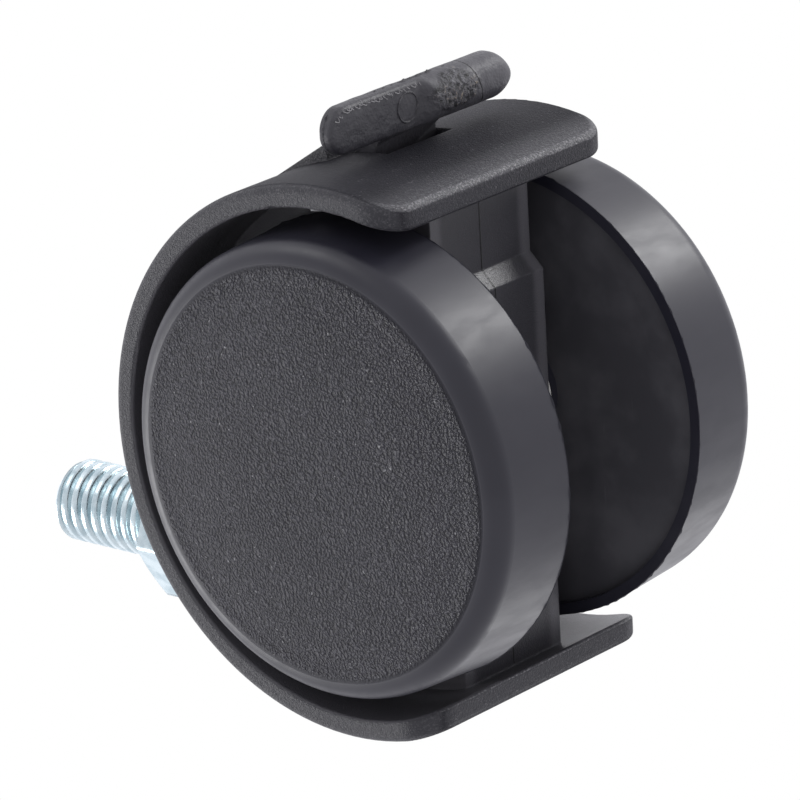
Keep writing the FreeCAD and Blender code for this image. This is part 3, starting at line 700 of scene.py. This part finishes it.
def make_stem(finishes):
    """The stem's real thread, and the rest of its solid: hexagon and journal."""
    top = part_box("threaded_stem")[1][2]
    zinc = finishes["zinc_steel"]
    thread = belongs(make_thread(top), "stem", zinc)
    shank = copy_without("threaded_stem", "stem_shank", Z_AXIS, THREAD_FOOT + FOOT_MARGIN)
    belongs(shank, "stem", zinc)
    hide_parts("threaded_stem")
    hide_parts("threaded_stem")


# ---------------------------------------------------------------- flash left by the moulds

FLASH_ROOT = 0.05 * MM  # how deep a fin of flash stands in its piece
FLASH_INSET = 0.04 * MM  # from the tread's inner edge to the middle of its flash


def make_fin(name, path, sideways, width):
    """A thin irregular fin of flash along a path of places, outward directions and heights."""
    points, faces = [], []
    for spot, out, height in path:
        foot = spot - out * FLASH_ROOT
        points += [foot + sideways * width / 2, spot + out * height, foot - sideways * width / 2]
    for row in range(len(path) - 1):
        here = 3 * row
        ahead = here + 3
        faces.append((here, ahead, ahead + 1, here + 1))
        faces.append((here + 1, ahead + 1, ahead + 2, here + 2))
    return new_piece(name, points, faces, smooth=True)


def ragged(spot, least, most, lump):
    """A height between least and most that wanders along the piece, mostly near least."""
    value = (noise.noise(spot / lump) + 1) / 2
    return least + (most - least) * value ** 4


def make_wheel_flash(finishes, side):
    """Flash round the inner edge of a wheel's tread."""
    node = "wheel_" + side
    low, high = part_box(node)
    inner = low[1] + FLASH_INSET if side == "left" else high[1] - FLASH_INSET
    radius = (high[2] - low[2]) / 2
    steps = 720
    path = []
    for step in range(steps + 1):
        angle = FULL_TURN * (step % steps) / steps
        out = Vector((math.cos(angle), 0, math.sin(angle)))
        spot = Vector((AXLE.x, inner, AXLE.z)) + out * radius
        path.append((spot, out, ragged(spot, least=0.03 * MM, most=0.3 * MM, lump=0.7 * MM)))
    fin = make_fin("wheel_flash_" + side, path, sideways=Vector((0, 1, 0)), width=0.08 * MM)
    belongs(fin, node, finishes["wheel_nylon"])


def make_pedal_flash(finishes):
    """Ragged flash round the pedal, where the two halves of its mould met."""
    centre, half_width, half_length = pedal_place()
    straight = half_length - half_width
    steps = 900
    path = []
    for step in range(steps + 1):
        angle = FULL_TURN * (step % steps) / steps
        out = Vector((math.cos(angle), math.sin(angle), 0))
        shift = straight * max(-1.0, min(1.0, 1.6 * out.y))
        spot = centre + out * half_width + Vector((0, shift, 0))
        path.append((spot, out, ragged(spot, least=0.02 * MM, most=0.5 * MM, lump=0.5 * MM)))
    fin = make_fin("pedal_flash", path, sideways=Vector((0, 0, 1)), width=0.1 * MM)
    belongs(fin, "brake", finishes["lever_nylon"])


# ---------------------------------------------------------------- pedal

PEDAL_RINGS = 221
PEDAL_COLUMNS = 72
GRIP_START, GRIP_FULL = -0.3 * MM, 1.4 * MM  # along the pedal, where the plate swells into the grip
PLATE_SQUARENESS = 4.5  # powers of the section's rounded oblong: 2 is an ellipse, more is squarer
GRIP_SQUARENESS = 2.15
TOP_SQUARENESS = 5.0
HIGHEST_LUMP = 0.03 * MM
SCAR_HALF_WIDTH, SCAR_HALF_LENGTH = 1.7 * MM, 3.2 * MM
SCAR_ROUGHNESS = 0.2 * MM  # height of the crumbs on the scar
CRUMB_SIZE = 0.42 * MM
SWELL_SIZE, SWELL_HEIGHT = 1.6 * MM, 0.05 * MM  # the low lumps all over the pedal
ARM_MARGIN = 0.02 * MM  # the CAD lever's faces past the pedal's near edge, less this, give way to the pedal


def eased(value, low, high):
    share = min(1.0, max(0.0, (value - low) / (high - low)))
    return share * share * (3 - 2 * share)


def mixed(share, first, second):
    return first * (1 - share) + second * share


def rounded_part(value, squareness):
    """Cosine or sine of the turn, for a section of the given squareness."""
    return math.copysign(abs(value) ** (2 / squareness), value)


def pedal_section(along, half_width, half_length, turn):
    """Across and up from the pedal's middle line, at one place along it and one angle round it."""
    past = max(0.0, abs(along) - (half_length - half_width))
    slim = math.sqrt(max(0.0, 1 - (past / half_width) ** 2))
    gripped = eased(along, GRIP_START, GRIP_FULL)
    depth, squareness = PLATE_HALF, TOP_SQUARENESS
    if math.sin(turn) < 0:
        depth = mixed(gripped, PLATE_HALF + PLATE_CROWN, GRIP_DEPTH)
        squareness = mixed(gripped, PLATE_SQUARENESS, GRIP_SQUARENESS)
    across = rounded_part(math.cos(turn), squareness) * half_width * slim
    up = rounded_part(math.sin(turn), squareness) * depth * slim ** 0.35
    return across, up


def pedal_lump(across, along, up):
    """How far the surface swells at a place: rough crumbs on the scar and low lumps all over."""
    spot = Vector((across, along, up))
    away = math.hypot((across - SCAR_ACROSS) / SCAR_HALF_WIDTH, (along - SCAR_ALONG) / SCAR_HALF_LENGTH)
    rough = SCAR_ROUGHNESS * (1 - eased(away, 0.75, 1.1)) if up < 0 else 0
    crumbs = noise.fractal(spot / CRUMB_SIZE, 1.0, 2.0, 4) * rough
    swell = noise.noise(spot / SWELL_SIZE) * SWELL_HEIGHT
    return min(crumbs + swell, HIGHEST_LUMP)


def make_pedal(finishes):
    """The pedal as one soft moulded bar: a flat plate whose left half swells into a half-round grip."""
    centre, half_width, half_length = pedal_place()
    points = []
    for ring in range(PEDAL_RINGS):
        along = -half_length * math.cos(math.pi * ring / (PEDAL_RINGS - 1))
        for column in range(PEDAL_COLUMNS):
            across, up = pedal_section(along, half_width, half_length, FULL_TURN * column / PEDAL_COLUMNS)
            outward = Vector((across * 0.3, 0, up)).normalized()
            points.append(centre + Vector((across, along, up)) + outward * pedal_lump(across, along, up))
    pedal = new_piece("pedal_bar", points, tube_faces(PEDAL_RINGS, PEDAL_COLUMNS), smooth=True)
    belongs(pedal, "brake", finishes["pedal"])
    arm = copy_without("brake_lever", "lever_arm", X_AXIS, centre.x - half_width - ARM_MARGIN)
    belongs(arm, "brake", finishes["lever_nylon"])
    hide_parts("brake_lever")
    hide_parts("brake_lever")


# ---------------------------------------------------------------- small marks on the pedal

BURR_COUNT = 22
BURR_SEED = 1  # without a seed, noise_vector starts from the clock and differs each run
BURR_STEP = 0.55 * MM  # from one shaving to the next
BURR_RADIUS = 0.04 * MM
BURR_SPANS = 6  # straight spans in one curl
RING_RADIUS = 1.35 * MM
RING_TUBE = 0.12 * MM
RING_MIDDLE = (0.1 * MM, -1.75 * MM)  # across the pedal and along it
RING_SAG = 0.03 * MM
RING_STEPS = 64
RING_SIDES = 6


def add_burr(data, start, reach, curl):
    """One curled shaving from its start on the plate's lower face, thinner towards its tip."""
    spline = data.splines.new("POLY")
    spline.points.add(BURR_SPANS)
    for step, point in enumerate(spline.points):
        share = step / BURR_SPANS
        bend = curl * share
        inward = reach * share * math.cos(bend) * 0.7
        lift = PLATE_HALF + PLATE_CROWN * 0.85 + 0.12 * MM * math.sin(math.pi * share)
        spot = start + Vector((-inward, reach * math.sin(bend) * 0.6, -lift))
        point.co = (*spot, 1)
        point.radius = 1 - 0.6 * share


def make_burrs(finishes):
    """Fine curled shavings along the plate's outer edge, left when its flash was trimmed."""
    centre, half_width, half_length = pedal_place()
    data = bpy.data.curves.new("pedal_burrs", "CURVE")
    data.dimensions = "3D"
    data.bevel_depth = BURR_RADIUS
    data.bevel_resolution = 1
    noise.seed_set(BURR_SEED)
    for index in range(BURR_COUNT):
        along = -half_length * 0.95 + index * BURR_STEP
        chance = noise.noise_vector(Vector((index * 3.7, 1.3, 8.1)))
        past = max(0.0, abs(along) - (half_length - half_width)) / half_width
        inset = (0.25 + 0.3 * abs(chance.x)) * MM
        across = half_width * math.sqrt(1 - min(0.98, past) ** 2) - inset
        reach = (0.5 + 1.3 * abs(chance.y)) * MM
        add_burr(data, centre + Vector((across, along, 0)), reach, math.pi * (0.5 + chance.z))
    burrs = bpy.data.objects.new("pedal_burrs", data)
    bpy.context.collection.objects.link(burrs)
    belongs(burrs, "brake", finishes["burr"])


def make_ring_mark(finishes):
    """Round mark of an ejector pin on the pedal's lower face."""
    centre = pedal_place()[0]
    ring_middle = centre + Vector((*RING_MIDDLE, -PLATE_HALF - PLATE_CROWN))
    points = []
    for step in range(RING_STEPS):
        angle = FULL_TURN * step / RING_STEPS
        out = Vector((math.cos(angle), math.sin(angle), 0))
        sag = RING_SAG * math.cos(angle) ** 2
        for side in range(RING_SIDES):
            lean = FULL_TURN * side / RING_SIDES
            rise = Vector((0, 0, sag + RING_TUBE * math.sin(lean)))
            points.append(ring_middle + out * (RING_RADIUS + RING_TUBE * math.cos(lean)) + rise)
    faces = tube_faces(RING_STEPS, RING_SIDES, closed=True)
    ring = new_piece("pedal_ejector_ring", points, faces, smooth=True)
    belongs(ring, "brake", finishes["lever_nylon"])


FINISHES = dress_frame()
make_camera()
make_world()
make_floor()
make_softbox("upper_left", right=-0.5, up=0.5, back=0.1, side=0.3, brightness=2.2)
make_softbox("upper_right", right=0.44, up=0.46, back=-0.09, side=0.17, brightness=20.0)
make_softbox("left", right=-0.52, up=-0.22, back=-0.18, side=0.26, brightness=6.0)
make_softbox("lower_right", right=0.34, up=-0.34, back=-0.42, side=0.25, brightness=1.2)
make_stem(FINISHES)
make_wheel_flash(FINISHES, "left")
make_wheel_flash(FINISHES, "right")
make_pedal(FINISHES)
make_pedal_flash(FINISHES)
make_ring_mark(FINISHES)
make_burrs(FINISHES)

bpy.context.scene.view_settings.view_transform = "Standard"
